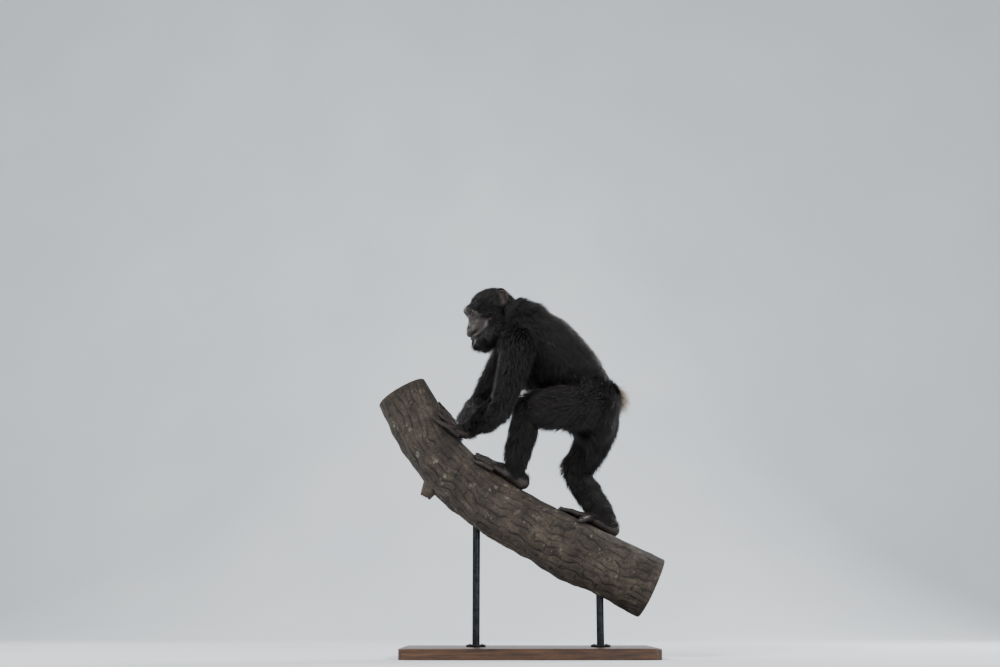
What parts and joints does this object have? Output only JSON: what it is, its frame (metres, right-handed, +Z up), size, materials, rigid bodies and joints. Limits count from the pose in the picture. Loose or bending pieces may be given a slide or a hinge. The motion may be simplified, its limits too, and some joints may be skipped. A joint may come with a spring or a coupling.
{
  "type": "chimpanzee figure on a bough",
  "caption": "Life-size still model of an adolescent chimpanzee climbing a sloping cut bough on hands and feet, held on rods and a flat base.",
  "frame": {"origin": "centre of the underside of the flat base, on the floor", "axes": "+Z up; the animal faces -X and its left side is at -Y"},
  "size_m": [1.0016, 0.4933, 1.2882],
  "materials": {
    "black_hair": "long coarse black hair with a faint brown cast",
    "pale_hair": "short whitish tuft at the rump",
    "bare_skin": "dark brown creased skin of face, ears, hands and feet",
    "eyes": "wet dark brown",
    "nails": "dark horn",
    "bark": "rough grey-brown bark with paler lichen",
    "cut_wood": "sawn end grain",
    "oak": "stained oak, satin varnish",
    "blackened_steel": "blackened, satin"
  },
  "bodies": {
    "root": {"head": "black_hair", "ear_left": "bare_skin", "ear_right": "bare_skin", "eye_left": "eyes", "eye_right": "eyes", "neck": "black_hair", "torso": "black_hair", "upper_arm_left": "black_hair", "upper_arm_right": "black_hair", "forearm_left": "black_hair", "forearm_right": "black_hair", "hand_left": "bare_skin", "hand_right": "bare_skin", "thigh_left": "black_hair", "thigh_right": "black_hair", "shank_left": "black_hair", "shank_right": "black_hair", "foot_left": "bare_skin", "foot_right": "bare_skin", "bough": "bark", "stand_base": "oak", "stand_rod_front": "blackened_steel", "stand_rod_rear": "blackened_steel"}
  },
  "joints": []
}
